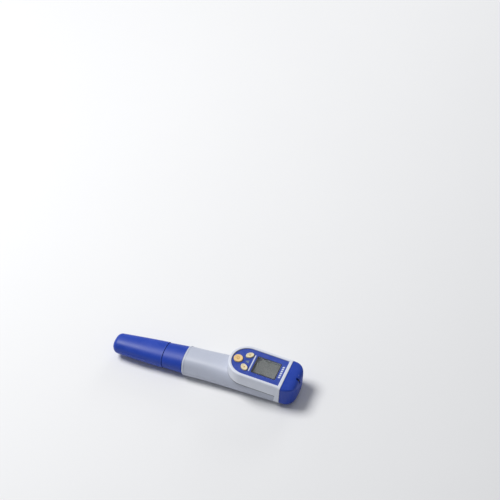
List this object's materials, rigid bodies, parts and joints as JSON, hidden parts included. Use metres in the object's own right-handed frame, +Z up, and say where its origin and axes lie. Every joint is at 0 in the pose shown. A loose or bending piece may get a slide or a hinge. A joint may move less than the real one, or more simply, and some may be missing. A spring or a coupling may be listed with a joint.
{
  "type": "water quality probe",
  "caption": "Pen-style water quality probe: oval grey handle, tilted display head with push buttons, plug-in forked sensor, blue protective cap and battery cap.",
  "frame": {"origin": "under the middle of the probe, on the surface it lies on", "axes": "+X along the probe towards the display head, +Y across it, +Z up through the display"},
  "size_m": [0.2016, 0.04, 0.0367],
  "materials": {
    "grey_shell": "fine moulded texture",
    "blue_shell": "smooth satin",
    "blue_panel": "satin printed overlay",
    "cream_key": "smooth satin",
    "orange_key": "smooth satin",
    "window_clear": "polished",
    "display_grey": "matte polariser",
    "white_plastic": "moulded",
    "stem_grey": "smooth moulded",
    "black_plastic": "moulded",
    "seal_rubber": "smooth",
    "mat_rubber": "soft silicone",
    "board_green": "solder mask",
    "chip_black": "moulded",
    "steel": "bright",
    "gold": "plated",
    "flex_amber": "film",
    "lead_red": "insulated",
    "label_white": "printed film",
    "capacitor_tan": "ceramic"
  },
  "bodies": {
    "housing": {"rear_housing": "grey_shell", "front_housing": "grey_shell", "housing_gasket": "seal_rubber", "face_panel": "blue_panel", "display_window": "window_clear", "display_glass": "display_grey", "display_holder": "white_plastic", "contact_strips": "seal_rubber", "keypad_mat": "mat_rubber", "snap_domes": "steel", "main_board": "board_green", "board_screws": "steel", "controller_chip": "chip_black", "measuring_chip": "chip_black", "clock_crystal": "steel", "flex_connector": "white_plastic", "capacitors": "capacitor_tan", "battery_bay": "black_plastic", "bay_contacts": "gold", "battery_leads": "lead_red", "sensor_socket": "black_plastic", "sensor_flex": "flex_amber", "rating_label": "label_white"},
    "battery_module": {"battery_cap": "blue_shell", "lanyard_pin": "steel", "battery_cap_seal": "seal_rubber", "battery_tray": "black_plastic", "button_cell_1": "steel", "button_cell_2": "steel", "button_cell_3": "steel", "button_cell_4": "steel", "tray_contacts": "gold"},
    "sensor_module": {"collar": "blue_shell", "sensor_body": "stem_grey", "collar_seal": "seal_rubber", "cap_seal": "seal_rubber", "connector_pins": "gold", "electrode_pins": "steel", "temperature_sensor": "steel"},
    "protective_cap": {"protective_cap": "blue_shell"},
    "power_button": {"power_button": "orange_key"},
    "left_button": {"left_button": "cream_key"},
    "right_button": {"right_button": "cream_key"}
  },
  "joints": [
    {"name": "battery_cap_pull", "type": "slide", "parent": "housing", "child": "battery_module", "axis": [1, 0, 0], "range_m": [0, 0.035]},
    {"name": "sensor_pull", "type": "slide", "parent": "housing", "child": "sensor_module", "axis": [-1, 0, 0], "range_m": [0, 0.018]},
    {"name": "cap_pull", "type": "slide", "parent": "sensor_module", "child": "protective_cap", "axis": [-1, 0, 0], "range_m": [0, 0.055]},
    {"name": "power_button_press", "type": "slide", "parent": "housing", "child": "power_button", "axis": [-0.1438, 0, -0.9896], "range_m": [0, 0.0006], "stiffness_N_per_m": 1500},
    {"name": "left_button_press", "type": "slide", "parent": "housing", "child": "left_button", "axis": [-0.1438, 0, -0.9896], "range_m": [0, 0.0006], "stiffness_N_per_m": 1500},
    {"name": "right_button_press", "type": "slide", "parent": "housing", "child": "right_button", "axis": [-0.1438, 0, -0.9896], "range_m": [0, 0.0006], "stiffness_N_per_m": 1500}
  ]
}
